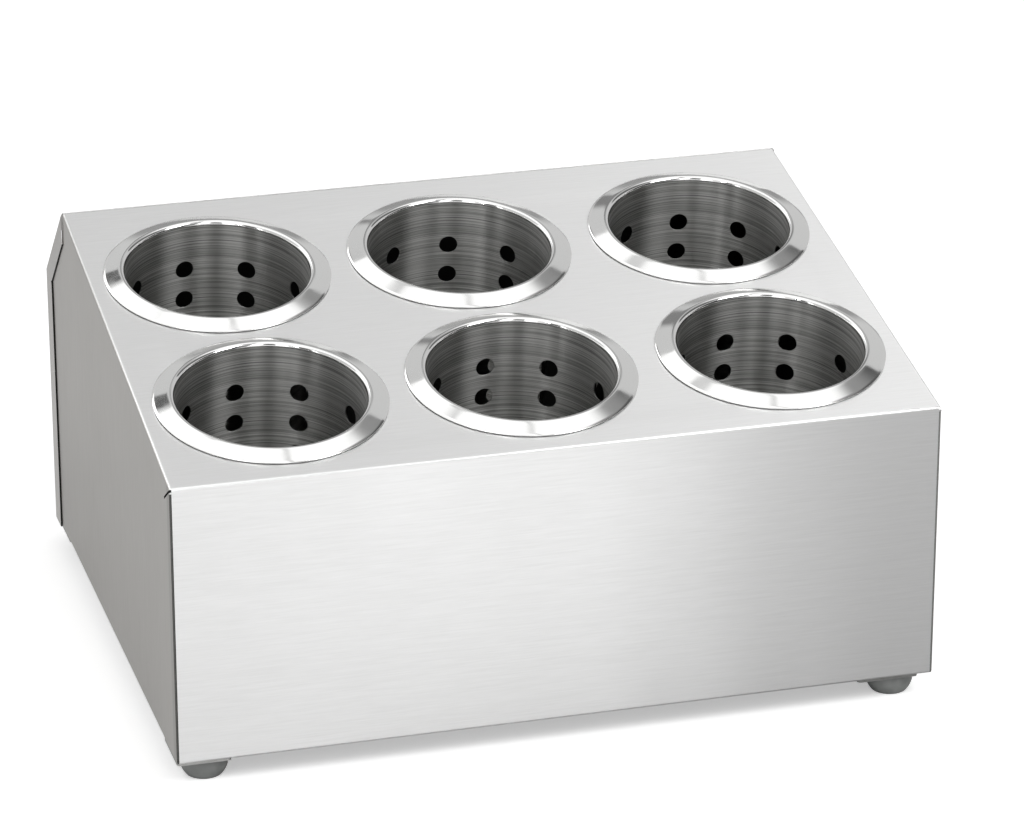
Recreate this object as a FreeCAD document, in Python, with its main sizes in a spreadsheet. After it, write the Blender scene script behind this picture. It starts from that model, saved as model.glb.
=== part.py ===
import FreeCAD, Part
import os
import re
import Sketcher

# Cutlery dispenser: a folded stainless housing with a sloping top, six perforated cups that
# hang by their flanges in the top's holes, a lapped rear cover and four screwed rubber feet.
# X runs along the front, Y to the rear, Z up. The origin is under the middle, at table height.

FILE_NAME_LIMIT = 60
INVALID_STATES = ("Invalid", "Error")

# Driving dimensions in millimetres and degrees, one row of the sheet each.
SIZES = {
    # housing, measured on its outer faces
    "front_height": 150.0,
    "rear_height": 199.0,
    "slant_run": 55.0,
    "slant_angle": 43.0,
    "skin": 1.0,
    "bend_inside": 0.6,
    "top_return": 15.0,
    "front_flange": 15.0,
    "side_flange": 34.0,
    "rear_gap": 1.2,
    # open front corners, where the front panel ends between the side panels' cut edges
    "seam_gap": 0.2,
    "seam_set_back": 0.4,
    "seam_top_drop": 2.6,
    "relief_width": 1.5,
    "relief_start": 0.15,
    "relief_run": 12.9,
    "relief_fall": 8.6,
    # rear cover
    "lap_width": 16.0,
    "slant_lap": 13.0,
    "lap_start": 1.5,
    "cover_flange_width": 300.0,
    "lap_relief": 1.6,
    # spaces on the top, between the cups' flanges and out to its edges
    "column_gap": 12.7,
    "row_gap": 7.5,
    "side_margin": 7.95,
    "front_margin": 10.8,
    "rear_margin": 18.08,
    # cups
    "cup_inside": 97.4,
    "cup_skin": 0.8,
    "cup_depth": 137.0,
    "cup_corner": 5.0,
    "flange_across": 120.0,
    "flange_slope": 19.0,
    "lip_radius": 2.2,
    "flange_edge": 0.35,
    "hole_play": 2.5,
    "seat_gap": 0.3,
    # perforation
    "wall_hole": 10.0,
    "first_hole_depth": 24.0,
    "last_hole_height": 21.0,
    "base_hole": 8.0,
    "base_ring": 30.0,
    # how each loose cup happens to be turned in its hole
    "turn_front_left": 19.0,
    "turn_front_middle": 16.0,
    "turn_front_right": 19.0,
    "turn_rear_left": 18.5,
    "turn_rear_middle": 1.0,
    "turn_rear_right": 4.0,
    # how far each loose cup happens to sit to the right, as a share of its play
    "sit_front_left": -0.27,
    "sit_front_middle": -0.88,
    "sit_front_right": -0.37,
    "sit_rear_left": -0.14,
    "sit_rear_middle": -0.53,
    "sit_rear_right": -0.03,
    # feet
    "foot_inset_side": 17.25,
    "foot_inset_front": 17.4,
    "plate_long": 33.0,
    "plate_short": 28.0,
    "plate_thick": 2.0,
    "plate_reach_ends": 14.8,
    "plate_reach_left_feet": 16.6,
    "plate_reach_right_feet": 22.4,
    "plate_corner": 2.0,
    "foot_height": 11.5,
    "foot_top": 24.0,
    "foot_flat": 18.8,
    "foot_dome": 12.3,
    "recess_across": 11.6,
    "recess_depth": 6.5,
    "screw_across": 5.0,
    "screw_head": 9.5,
    "screw_head_height": 3.2,
    "screw_head_round": 1.0,
    "screw_socket": 4.0,
    "screw_socket_depth": 2.0,
    "screw_proud": 1.5,
    "screw_clearance": 0.25,
    "thread_clearance": 0.05,
    "washer_across": 10.6,
    "washer_thick": 1.0,
    "nut_flats": 8.0,
    "nut_height": 4.0,
}

# Sizes that follow from the driving ones: the housing is as large as its cups need.
FOLLOWING = {
    "column_pitch": "flange_across + column_gap",
    "row_pitch": "flange_across + row_gap",
    "first_row": "front_margin + flange_across / 2",
    "body_width": "3 * flange_across + 2 * column_gap + 2 * side_margin",
    "slope_length": "front_margin + 2 * flange_across + row_gap + rear_margin",
    "top_run": "sqrt(slope_length ^ 2 - (rear_height - front_height) ^ 2)",
    "overall_depth": "top_run + slant_run",
    "hole_row_pitch": "(cup_depth - first_hole_depth - last_hole_height) / (HOLE_ROWS - 1)",
}

# Counts of repeated features.
COLUMNS = {"left": -1, "middle": 0, "right": 1}
ROWS = {"front": 0, "rear": 1}
HOLE_COLUMNS = 9
HOLE_ROWS = 6
BASE_HOLES = 8

# Shared lines of the side view, as expressions of the sheet's names.
TAN_SLANT = "tan(slant_angle * 1 deg)"
COS_SLANT = "cos(slant_angle * 1 deg)"
TOP_ANGLE = "atan((rear_height - front_height) / top_run)"
BEND_OUTSIDE = "(bend_inside + skin)"
HOUSING_REAR = "(overall_depth - skin - rear_gap)"
GROUND_DROP = "(plate_thick + foot_height)"
HOLE_ACROSS = "(cup_inside + 2 * cup_skin + 2 * hole_play)"
SCREW_HOLE = "(screw_across + 2 * screw_clearance)"

doc = FreeCAD.newDocument("CutleryDispenser")


def make_sheet():
    """Write the driving dimensions as plain numbers and the following ones as formulas."""
    sheet = doc.addObject("Spreadsheet::Sheet", "Sizes")
    cells = {name: str(number) for name, number in SIZES.items()}
    for name, formula in FOLLOWING.items():
        cells[name] = f"={formula.replace('HOLE_ROWS', str(HOLE_ROWS))}"
    for row, (name, content) in enumerate(cells.items(), start=1):
        sheet.set(f"A{row}", name)
        sheet.set(f"B{row}", content)
        sheet.setAlias(f"B{row}", name)
    doc.recompute()
    return sheet


SHEET = make_sheet()
WORKINGS = doc.addObject("Spreadsheet::Sheet", "Workings")


def bound(text):
    """Point each dimension's name in an expression at its cell of the sheet."""
    names = {**SIZES, **FOLLOWING}
    return re.sub(r"[a-z_]+", lambda word: f"Sizes.{word[0]}" if word[0] in names else word[0], text)


def value(text):
    """The present number of an expression of the sheet's names, worked out in a spare cell."""
    WORKINGS.set("A1", f"={bound(text)}")
    WORKINGS.recompute()
    return float(WORKINGS.get("A1"))


def slant_inside(across):
    """Height of the rear cover's inner slanted face at a depth, as an expression."""
    return f"rear_height - (({across}) - top_run) * {TAN_SLANT}"


def slant_outside(across):
    """Height of the rear cover's outer slanted face at a depth, as an expression."""
    return f"{slant_inside(across)} + skin / {COS_SLANT}"


def make_body(label):
    """Start an empty body whose origin lies under the front edge, at the shell's bottom edge."""
    body = doc.addObject("PartDesign::Body", label)
    body.Label = label
    return body


def place(body, text):
    """Bind a body's placement to an expression."""
    body.setExpression("Placement", bound(text))


def place_on_shell(body):
    """Seat a body that is drawn in the shell's own coordinates."""
    shell = f"vector(0; -overall_depth / 2; {GROUND_DROP})"
    place(body, f"placement({shell}; rotation(vector(1; 0; 0); 0 deg))")


def origin_plane(body, role):
    """One of the body's own three planes."""
    return next(plane for plane in body.Origin.OriginFeatures if plane.Role == role)


def make_sketch(body, name, role, offset=None):
    """Attach an empty sketch to one of the body's planes, moved by an expression if given."""
    sketch = body.newObject("Sketcher::SketchObject", name)
    sketch.AttachmentSupport = [(origin_plane(body, role), "")]
    sketch.MapMode = "FlatFace"
    if offset:
        sketch.setExpression("AttachmentOffset", bound(offset))
    return sketch


def bind_point(sketch, geometry, end, across, up):
    """Tie a point of the sketch to its two distances from the sketch's origin."""
    for kind, text in (("DistanceX", across), ("DistanceY", up)):
        number = sketch.addConstraint(Sketcher.Constraint(kind, -1, 1, geometry, end, value(text)))
        sketch.setExpression(f"Constraints[{number}]", bound(text))


def bowed_side(here, there, radius):
    """An arc between two points; a positive radius bows it to the right of the way it goes."""
    chord = there - here
    across = FreeCAD.Vector(chord.y, -chord.x, 0).normalize()
    rise = abs(radius) - (radius * radius - (chord.Length / 2) ** 2) ** 0.5
    middle = (here + there) / 2 + across * (rise if radius > 0 else -rise)
    return Part.Arc(here, middle, there)


def draw_outline(sketch, corners):
    """Draw a closed outline, anticlockwise, through corners given as expressions.

    A corner with a third entry starts an arc of that radius, "-" before it for a hollow one.
    """
    points = [FreeCAD.Vector(value(corner[0]), value(corner[1]), 0) for corner in corners]
    sides = []
    for corner, here, there in zip(corners, points, points[1:] + points[:1]):
        if len(corner) == 2:
            sides.append((sketch.addGeometry(Part.LineSegment(here, there), False), 1, 2))
            continue
        hollow = corner[2].startswith("-")
        number = sketch.addGeometry(bowed_side(here, there, value(corner[2])), False)
        sides.append((number, 2, 1) if hollow else (number, 1, 2))
        size = corner[2].lstrip("-")
        rule = sketch.addConstraint(Sketcher.Constraint("Radius", number, value(size)))
        sketch.setExpression(f"Constraints[{rule}]", bound(size))
    for side, following in zip(sides, sides[1:] + sides[:1]):
        meeting = Sketcher.Constraint("Coincident", side[0], side[2], following[0], following[1])
        sketch.addConstraint(meeting)
    for side, corner in zip(sides, corners):
        bind_point(sketch, side[0], side[1], corner[0], corner[1])


def draw_box(sketch, low, high):
    """Draw a rectangle from its low corner to its high corner."""
    draw_outline(sketch, [low, (high[0], low[1]), high, (low[0], high[1])])


def draw_circle(sketch, across, up, diameter):
    """Draw a circle bound to its centre and diameter."""
    centre = FreeCAD.Vector(value(across), value(up), 0)
    normal = FreeCAD.Vector(0, 0, 1)
    circle = sketch.addGeometry(Part.Circle(centre, normal, value(diameter) / 2), False)
    number = sketch.addConstraint(Sketcher.Constraint("Diameter", circle, value(diameter)))
    sketch.setExpression(f"Constraints[{number}]", bound(diameter))
    bind_point(sketch, circle, 3, across, up)


def make_pad(body, name, sketch, length, midplane=False, reverse=False):
    """Raise a sketch to a length."""
    pad = body.newObject("PartDesign::Pad", name)
    pad.Profile = sketch
    pad.setExpression("Length", bound(length))
    pad.Midplane = midplane
    pad.Reversed = reverse
    doc.recompute()
    return pad


def make_pocket(body, name, sketch, length, midplane=False, reverse=False):
    """Cut a sketch to a depth, and make sure that it takes something away."""
    before = body.Shape.Volume
    pocket = body.newObject("PartDesign::Pocket", name)
    pocket.Profile = sketch
    pocket.setExpression("Length", bound(length))
    pocket.Midplane = midplane
    pocket.Reversed = reverse
    doc.recompute()
    if pocket.Shape.Volume >= before:
        raise RuntimeError(f"{name} cuts nothing")
    return pocket


def make_revolution(body, name, sketch):
    """Turn a sketch on the XZ plane once round the body's Z axis."""
    turn = body.newObject("PartDesign::Revolution", name)
    turn.Profile = sketch
    turn.ReferenceAxis = (sketch, ["V_Axis"])
    turn.Angle = 360
    doc.recompute()
    return turn


def make_mirror(body, name, features):
    """Repeat features of the right half on the left half."""
    mirror = body.newObject("PartDesign::Mirrored", name)
    mirror.Originals = features
    mirror.MirrorPlane = (origin_plane(body, "YZ_Plane"), [""])
    body.Tip = mirror
    doc.recompute()
    return mirror


def make_ring(body, name, features, count):
    """Repeat features round the body's Z axis."""
    ring = body.newObject("PartDesign::PolarPattern", name)
    ring.Originals = features
    axis = next(line for line in body.Origin.OriginFeatures if line.Role == "Z_Axis")
    ring.Axis = (axis, [""])
    ring.Angle = 360
    ring.Occurrences = count
    body.Tip = ring
    doc.recompute()
    return ring


def make_fillet(body, name, radius, test):
    """Round the edges of the body's tip whose two ends and middle pass a test."""
    base = body.Tip
    edges = [f"Edge{i}" for i, edge in enumerate(base.Shape.Edges, start=1) if test(edge)]
    if not edges:
        raise RuntimeError(f"{name} finds no edge")
    fillet = body.newObject("PartDesign::Fillet", name)
    fillet.Base = (base, edges)
    fillet.setExpression("Radius", bound(radius))
    doc.recompute()
    return fillet


def near(first, second):
    """Whether two lengths agree to a hundredth of a millimetre."""
    return abs(first - second) < 0.01


def lies_on(edge, **fixed):
    """Whether every point of a straight edge has the given coordinates."""
    ends = [vertex.Point for vertex in edge.Vertexes]
    if len(ends) != 2 or not isinstance(edge.Curve, Part.Line):
        return False
    return all(near(getattr(end, axis), place) for end in ends for axis, place in fixed.items())


def joins(edge, first, second):
    """Whether a straight edge runs between two points of the side view, at any X."""
    ends = [(vertex.Point.y, vertex.Point.z) for vertex in edge.Vertexes]
    if len(ends) != 2:
        return False
    wanted = (first, second)
    return any(
        all(near(a, b) for end, point in zip(pair, wanted) for a, b in zip(end, point))
        for pair in (ends, ends[::-1])
    )


# ---------------------------------------------------------------- housing


def housing_block(body):
    """The housing's outer volume, with rounded folds at the top and at the bottom."""
    sketch = make_sketch(body, "housing_side_view", "YZ_Plane")
    draw_outline(sketch, [
        ("0", "0"),
        ("0", "front_height"),
        ("top_run", "rear_height"),
        (HOUSING_REAR, slant_inside(HOUSING_REAR)),
        (HOUSING_REAR, "0"),
    ])
    make_pad(body, "housing_block", sketch, "body_width", midplane=True)
    front_top = (0, value("front_height"))
    apex = (value("top_run"), value("rear_height"))
    front_foot = (0, 0)
    rear_foot = (value(HOUSING_REAR), 0)

    def is_fold(edge):
        across = lies_on(edge, y=0, z=front_top[1]) or lies_on(edge, y=apex[0], z=apex[1])
        along_slope = joins(edge, front_top, apex)
        bottom = lies_on(edge, y=0, z=0) or joins(edge, front_foot, rear_foot)
        return across or along_slope or bottom

    make_fillet(body, "housing_folds", BEND_OUTSIDE, is_fold)


def housing_cavity(body):
    """Hollow the block to a sheet, open to the rear below the top's rear return."""
    past = f"({HOUSING_REAR} + rear_gap + skin)"
    slope = "((rear_height - front_height) / top_run)"
    top_drop = f"skin / cos({TOP_ANGLE})"
    slant_drop = f"skin / {COS_SLANT}"
    # The inner apex is where the top's and the slant's inner faces meet.
    apex_across = f"(top_run + ({top_drop} - {slant_drop}) / ({slope} + {TAN_SLANT}))"
    apex_up = f"front_height + {apex_across} * {slope} - {top_drop}"
    return_end = f"(top_run + top_return * {COS_SLANT})"
    sketch = make_sketch(body, "cavity_side_view", "YZ_Plane")
    draw_outline(sketch, [
        ("skin", "skin"),
        ("skin", f"front_height + skin * {slope} - {top_drop}"),
        (apex_across, apex_up),
        (return_end, f"{slant_inside(return_end)} - {slant_drop}"),
        (return_end, slant_inside(return_end) + " + skin"),
        (past, slant_inside(return_end) + " + skin"),
        (past, "skin"),
    ])
    make_pocket(body, "housing_cavity", sketch, "body_width - 2 * skin", midplane=True)


def bottom_opening(body):
    """Cut the bottom away between its inward flanges."""
    sketch = make_sketch(body, "bottom_plan", "XY_Plane")
    half = "(body_width / 2 - side_flange)"
    draw_box(sketch, (f"-{half}", "front_flange"), (half, "overall_depth"))
    make_pocket(body, "bottom_opening", sketch, "skin", reverse=True)


def corner_seam(body):
    """Free the front panel's end from the side panel, whose cut edge stays in sight beside it."""
    side_inside = "body_width / 2 - skin"
    panel_end = f"{side_inside} - seam_gap"
    past = "body_width / 2 + skin"
    sketch = make_sketch(body, "seam_plan", "XY_Plane")
    draw_outline(sketch, [
        (panel_end, "-skin"),
        (past, "-skin"),
        (past, "seam_set_back"),
        (side_inside, "seam_set_back"),
        (side_inside, "2 * skin"),
        (panel_end, "2 * skin"),
    ])
    return make_pocket(body, "corner_seam", sketch, "front_height - seam_top_drop", reverse=True)


def corner_relief(body):
    """The narrow slanting slot that runs back from the front's top corner."""
    outside = "placement(vector(0; 0; body_width / 2 + skin); rotation(vector(1; 0; 0); 0 deg))"
    sketch = make_sketch(body, "relief_side_view", "YZ_Plane", outside)
    start = ("-skin", "front_height - relief_start + skin * relief_fall / relief_run")
    end = ("relief_run", "front_height - relief_start - relief_fall")
    draw_outline(sketch, [
        start,
        end,
        (end[0], f"{end[1]} - relief_width"),
        (start[0], f"{start[1]} - relief_width"),
    ])
    return make_pocket(body, "corner_relief", sketch, "2 * skin + seam_gap")


def cup_holes(body):
    """The top's round holes, three across and two along the slope."""
    on_slope = f"placement(vector(0; 0; front_height); rotation(vector(1; 0; 0); {TOP_ANGLE}))"
    sketch = make_sketch(body, "holes_on_slope", "XY_Plane", on_slope)
    for row in ROWS.values():
        for column in COLUMNS.values():
            draw_circle(sketch, f"column_pitch * {column}", f"first_row + row_pitch * {row}", HOLE_ACROSS)
    make_pocket(body, "cup_holes", sketch, "4 * skin")


def foot_positions():
    """Names and plan places of the four feet, as expressions in the shell's coordinates."""
    places = {}
    depths = {"front": "foot_inset_front", "rear": "(overall_depth - foot_inset_front)"}
    for depth_name, depth in depths.items():
        for side_name, side in (("left", -1), ("right", 1)):
            across = f"{side} * (body_width / 2 - foot_inset_side)"
            places[f"{depth_name}_{side_name}"] = (across, depth)
    return places


def flange_holes(body):
    """Screw holes for the feet in the bottom's side flanges."""
    sketch = make_sketch(body, "screw_plan", "XY_Plane")
    for across, depth in foot_positions().values():
        draw_circle(sketch, across, depth, SCREW_HOLE)
    make_pocket(body, "flange_holes", sketch, "skin", reverse=True)


def make_housing():
    """Top, front and sides folded from one sheet."""
    body = make_body("housing")
    housing_block(body)
    housing_cavity(body)
    bottom_opening(body)
    seam = corner_seam(body)
    relief = corner_relief(body)
    make_mirror(body, "left_corner", [seam, relief])
    cup_holes(body)
    flange_holes(body)
    place_on_shell(body)
    return body


# ------------------------------------------------------------- rear cover


def make_rear_cover():
    """Vertical and slanted rear panel with laps over the outside of the side panels."""
    body = make_body("rear_cover")
    start = "(top_run + lap_start)"
    lap_front = "(overall_depth - lap_width)"
    lap_drop = f"slant_lap / {COS_SLANT}"
    sketch = make_sketch(body, "lap_side_view", "YZ_Plane")
    draw_outline(sketch, [
        (start, slant_outside(start)),
        ("overall_depth", slant_outside("overall_depth")),
        ("overall_depth", "0"),
        (lap_front, "0"),
        (lap_front, f"{slant_outside(lap_front)} - {lap_drop}"),
        (start, f"{slant_outside(start)} - {lap_drop}"),
    ])
    make_pad(body, "cover_block", sketch, "body_width + 2 * skin", midplane=True)
    kink = (value("overall_depth"), value(slant_outside("overall_depth")))
    top = (value(start), value(slant_outside(start)))
    foot = (value("overall_depth"), 0)

    def is_fold(edge):
        return lies_on(edge, y=kink[0], z=kink[1]) or joins(edge, kink, top) or joins(edge, kink, foot)

    make_fillet(body, "cover_folds", BEND_OUTSIDE, is_fold)
    inside_rear = "(overall_depth - skin)"
    before = "(top_run - lap_width)"
    sketch = make_sketch(body, "cover_inside_view", "YZ_Plane")
    draw_outline(sketch, [
        (before, slant_inside(before)),
        (inside_rear, slant_inside(inside_rear)),
        (inside_rear, "skin"),
        (before, "skin"),
    ])
    make_pocket(body, "cover_inside", sketch, "body_width", midplane=True)
    sketch = make_sketch(body, "cover_foot_plan", "XY_Plane")
    for side in (-1, 1):
        near_end = f"{side} * cover_flange_width / 2"
        draw_box(sketch, (near_end, before), (f"{side} * body_width / 2", inside_rear))
    make_pocket(body, "cover_flange_ends", sketch, "skin", reverse=True)
    sketch = make_sketch(body, "lap_relief_view", "YZ_Plane")
    draw_circle(sketch, lap_front, f"{slant_outside(lap_front)} - {lap_drop}", "lap_relief")
    make_pocket(body, "lap_relief", sketch, "body_width + 4 * skin", midplane=True)
    place_on_shell(body)
    return body


# ------------------------------------------------------------------- cups


def cup_profile(body):
    """Half section of a cup: base, wall and the flange that slopes down from the lip."""
    slope = "tan(flange_slope * 1 deg)"
    rise = "cup_skin / cos(flange_slope * 1 deg)"
    inside = "(cup_inside / 2)"
    outside = "(cup_inside / 2 + cup_skin)"
    edge = "(flange_across / 2)"
    bottom = "(seat_gap - cup_depth)"
    peak = f"seat_gap + {rise} + ({edge} - {inside}) * {slope}"
    armpit = f"seat_gap + ({edge} - {outside}) * {slope}"
    sketch = make_sketch(body, "cup_section", "XZ_Plane")
    draw_outline(sketch, [
        ("0", bottom),
        (outside, bottom),
        (outside, armpit),
        (edge, "seat_gap"),
        (edge, f"seat_gap + {rise}"),
        (inside, peak),
        (inside, f"{bottom} + cup_skin"),
        ("0", f"{bottom} + cup_skin"),
    ])
    make_revolution(body, "cup_turned", sketch)


def is_circle_at(edge, radius, height):
    """Whether an edge is a circle round the Z axis with a radius and a height."""
    if not isinstance(edge.Curve, Part.Circle):
        return False
    return near(edge.Curve.Radius, radius) and near(edge.Curve.Center.z, height)


def cup_rounds(body):
    """Round the lip, the flange's edge and the corner between wall and base."""
    inside = value("cup_inside / 2")
    outside = inside + value("cup_skin")
    edge_radius = value("flange_across / 2")
    slope = value("tan(flange_slope * 1 deg)")
    rise = value("cup_skin / cos(flange_slope * 1 deg)")
    gap = value("seat_gap")
    bottom = gap - value("cup_depth")
    peak = gap + rise + (edge_radius - inside) * slope
    armpit = gap + (edge_radius - outside) * slope
    rounds = {
        "cup_lip": ("lip_radius", inside, peak),
        "cup_armpit": ("lip_radius - cup_skin", outside, armpit),
        "cup_flange_edge": ("flange_edge", edge_radius, gap + rise),
        "cup_corner_outside": ("cup_corner", outside, bottom),
        "cup_corner_inside": ("cup_corner - cup_skin", inside, bottom + value("cup_skin")),
    }
    for name, (radius, across, height) in rounds.items():
        make_fillet(body, name, radius, lambda edge: is_circle_at(edge, across, height))


def cup_perforation(body):
    """Rows of round holes through the wall and a ring of holes through the base."""
    sketch = make_sketch(body, "wall_hole_rows", "YZ_Plane")
    for row in range(HOLE_ROWS):
        draw_circle(sketch, "0", f"-(first_hole_depth + hole_row_pitch * {row})", "wall_hole")
    column = make_pocket(body, "wall_hole_column", sketch, "flange_across / 2", reverse=True)
    make_ring(body, "wall_holes", [column], HOLE_COLUMNS)
    sketch = make_sketch(body, "base_hole_plan", "XY_Plane")
    draw_circle(sketch, "base_ring", "0", "base_hole")
    hole = make_pocket(body, "base_hole_one", sketch, "cup_depth + seat_gap")
    make_ring(body, "base_holes", [hole], BASE_HOLES)
    sketch = make_sketch(body, "base_centre_plan", "XY_Plane")
    draw_circle(sketch, "0", "0", "base_hole")
    make_pocket(body, "base_centre", sketch, "cup_depth + seat_gap")


def place_cup(body, column, row, turn, sit):
    """Hang a cup in its hole, square to the slope, with its own turn and its own place in the play."""
    shell = f"vector(0; -overall_depth / 2; {GROUND_DROP} + front_height)"
    slope = f"placement({shell}; rotation(vector(1; 0; 0); {TOP_ANGLE}))"
    across = f"column_pitch * {column} + hole_play * {sit}"
    on_slope = f"vector({across}; first_row + row_pitch * {row}; 0)"
    place(body, f"{slope} * placement({on_slope}; rotation(vector(0; 0; 1); {turn} * 1 deg))")


def make_cup(label, column, row, turn, sit):
    """One perforated cup."""
    body = make_body(label)
    cup_profile(body)
    cup_rounds(body)
    cup_perforation(body)
    place_cup(body, column, row, turn, sit)
    return body


def make_cups():
    """Six cups, one for each hole of the top."""
    cups = []
    for row_name, row in ROWS.items():
        for column_name, column in COLUMNS.items():
            spot = f"{row_name}_{column_name}"
            cups.append(make_cup(f"cup_{spot}", column, row, f"turn_{spot}", f"sit_{spot}"))
    return cups


# ------------------------------------------------------------------- feet


def place_foot_piece(body, across, depth, height):
    """Put a piece of a foot's stack on the screw's axis, at a height over the shell's edge."""
    spot = f"vector({across}; {depth} - overall_depth / 2; {GROUND_DROP} + {height})"
    place(body, f"placement({spot}; rotation(vector(0; 0; 1); 0 deg))")


def make_foot_plate(label, spot):
    """Thin plate between the flange and the foot; the left feet's lie turned a quarter."""
    left = spot.endswith("left")
    across, along = ("plate_short", "plate_long") if left else ("plate_long", "plate_short")
    reach = "plate_reach_left_feet" if left else "plate_reach_right_feet"
    front = "-plate_reach_ends" if spot.startswith("front") else f"plate_reach_ends - {along}"
    body = make_body(label)
    sketch = make_sketch(body, "plate_plan", "XY_Plane")
    draw_box(sketch, (f"-{reach}", front), (f"{across} - {reach}", f"{front} + {along}"))
    make_pad(body, "plate_blank", sketch, "plate_thick", reverse=True)
    corners = [vertex.Point for vertex in body.Shape.Vertexes]
    make_fillet(body, "plate_corners", "plate_corner", lambda edge: is_upright(edge, corners))
    sketch = make_sketch(body, "plate_hole_plan", "XY_Plane")
    draw_circle(sketch, "0", "0", SCREW_HOLE)
    make_pocket(body, "plate_hole", sketch, "plate_thick")
    return body


def is_upright(edge, corners):
    """Whether an edge is vertical and joins two of the given corners."""
    ends = [vertex.Point for vertex in edge.Vertexes]
    level = near(ends[0].x, ends[-1].x) and near(ends[0].y, ends[-1].y)
    return level and len(ends) == 2 and ends[0] in corners


def make_foot(label):
    """Bowl-shaped rubber foot with a screw hole and a recess for the screw's head."""
    body = make_body(label)
    hole = f"({SCREW_HOLE} / 2)"
    recess = "(recess_across / 2)"
    sketch = make_sketch(body, "foot_section", "XZ_Plane")
    draw_outline(sketch, [
        (hole, "0"),
        (hole, "recess_depth - foot_height"),
        (recess, "recess_depth - foot_height"),
        (recess, "-foot_height"),
        ("foot_flat / 2", "-foot_height", "foot_dome"),
        ("foot_top / 2", "0"),
    ])
    make_revolution(body, "foot_turned", sketch)
    return body


def make_washer(label):
    """Flat washer under the screw's head."""
    body = make_body(label)
    sketch = make_sketch(body, "washer_plan", "XY_Plane")
    draw_circle(sketch, "0", "0", "washer_across")
    draw_circle(sketch, "0", "0", SCREW_HOLE)
    make_pad(body, "washer_disc", sketch, "washer_thick", reverse=True)
    return body


def draw_hexagon(sketch, flats):
    """Draw a regular hexagon about the origin, given its size across flats."""
    corner = f"({flats} / sqrt(3))"
    draw_outline(sketch, [
        (corner, "0"),
        (f"{corner} / 2", f"{flats} / 2"),
        (f"-{corner} / 2", f"{flats} / 2"),
        (f"-{corner}", "0"),
        (f"-{corner} / 2", f"-{flats} / 2"),
        (f"{corner} / 2", f"-{flats} / 2"),
    ])


def make_screw(label):
    """Socket screw, head down, whose shank reaches through the nut."""
    body = make_body(label)
    grip = "(washer_thick + foot_height - recess_depth + plate_thick + skin)"
    reach = f"({grip} + nut_height + screw_proud)"
    shank = "(screw_across / 2)"
    head = "(screw_head / 2)"
    sketch = make_sketch(body, "screw_section", "XZ_Plane")
    draw_outline(sketch, [
        ("0", "-screw_head_height"),
        (head, "-screw_head_height"),
        (head, "0"),
        (shank, "0"),
        (shank, reach),
        ("0", reach),
    ])
    make_revolution(body, "screw_turned", sketch)
    under = -value("screw_head_height")
    across = value(head)
    make_fillet(body, "head_round", "screw_head_round", lambda edge: is_circle_at(edge, across, under))
    down = "placement(vector(0; 0; -screw_head_height); rotation(vector(0; 0; 1); 0 deg))"
    sketch = make_sketch(body, "socket_plan", "XY_Plane", down)
    draw_hexagon(sketch, "screw_socket")
    make_pocket(body, "screw_drive", sketch, "screw_socket_depth", reverse=True)
    return body


def make_nut(label):
    """Hexagon nut on top of the flange."""
    body = make_body(label)
    sketch = make_sketch(body, "nut_plan", "XY_Plane")
    draw_hexagon(sketch, "nut_flats")
    draw_circle(sketch, "0", "0", "screw_across + 2 * thread_clearance")
    make_pad(body, "nut_blank", sketch, "nut_height")
    return body


def make_feet():
    """Plate, rubber, washer, screw and nut at each corner."""
    pieces = []
    washer_top = "-(plate_thick + foot_height - recess_depth)"
    for spot, (across, depth) in foot_positions().items():
        stack = (
            (make_foot_plate(f"foot_plate_{spot}", spot), "0"),
            (make_foot(f"foot_{spot}"), "-plate_thick"),
            (make_washer(f"foot_washer_{spot}"), washer_top),
            (make_screw(f"foot_screw_{spot}"), f"{washer_top} - washer_thick"),
            (make_nut(f"foot_nut_{spot}"), "skin"),
        )
        for body, height in stack:
            place_foot_piece(body, across, depth, height)
            pieces.append(body)
    return pieces


# ----------------------------------------------------------------- export


def check_document():
    """Stop if any object of the document failed to compute."""
    for item in doc.Objects:
        failed = [state for state in item.State if state in INVALID_STATES]
        if failed:
            raise RuntimeError(f"{item.Label} is {failed}")


def check_piece(body):
    """Stop if a piece has no shape, a broken shape or more than one solid."""
    shape = body.Shape
    if shape.isNull() or not shape.isValid():
        raise RuntimeError(f"{body.Label} has no valid shape")
    if len(shape.Solids) != 1:
        raise RuntimeError(f"{body.Label} has {len(shape.Solids)} solids")
    if len(body.Label) >= FILE_NAME_LIMIT:
        raise RuntimeError(f"{body.Label} is too long a name")


def main():
    """Build every piece, check it and write it out."""
    pieces = [make_housing(), make_rear_cover()]
    pieces += make_cups()
    pieces += make_feet()
    doc.recompute()
    check_document()
    os.makedirs("parts", exist_ok=True)
    for body in pieces:
        check_piece(body)
    for body in pieces:
        body.Shape.exportStep(f"parts/{body.Label}.step")
        box = body.Shape.BoundBox
        print(f"{body.Label}: volume {body.Shape.Volume:.1f} z {box.ZMin:.2f}..{box.ZMax:.2f}")


main()
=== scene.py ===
"""Looks of the cutlery dispenser: steel finishes, perforated cups, rubber feet and the studio."""

import logging
import math
from collections.abc import Callable
from dataclasses import dataclass
from enum import Enum

import bmesh
import bpy
from mathutils import Matrix, Vector
from mathutils.bvhtree import BVHTree


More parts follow.
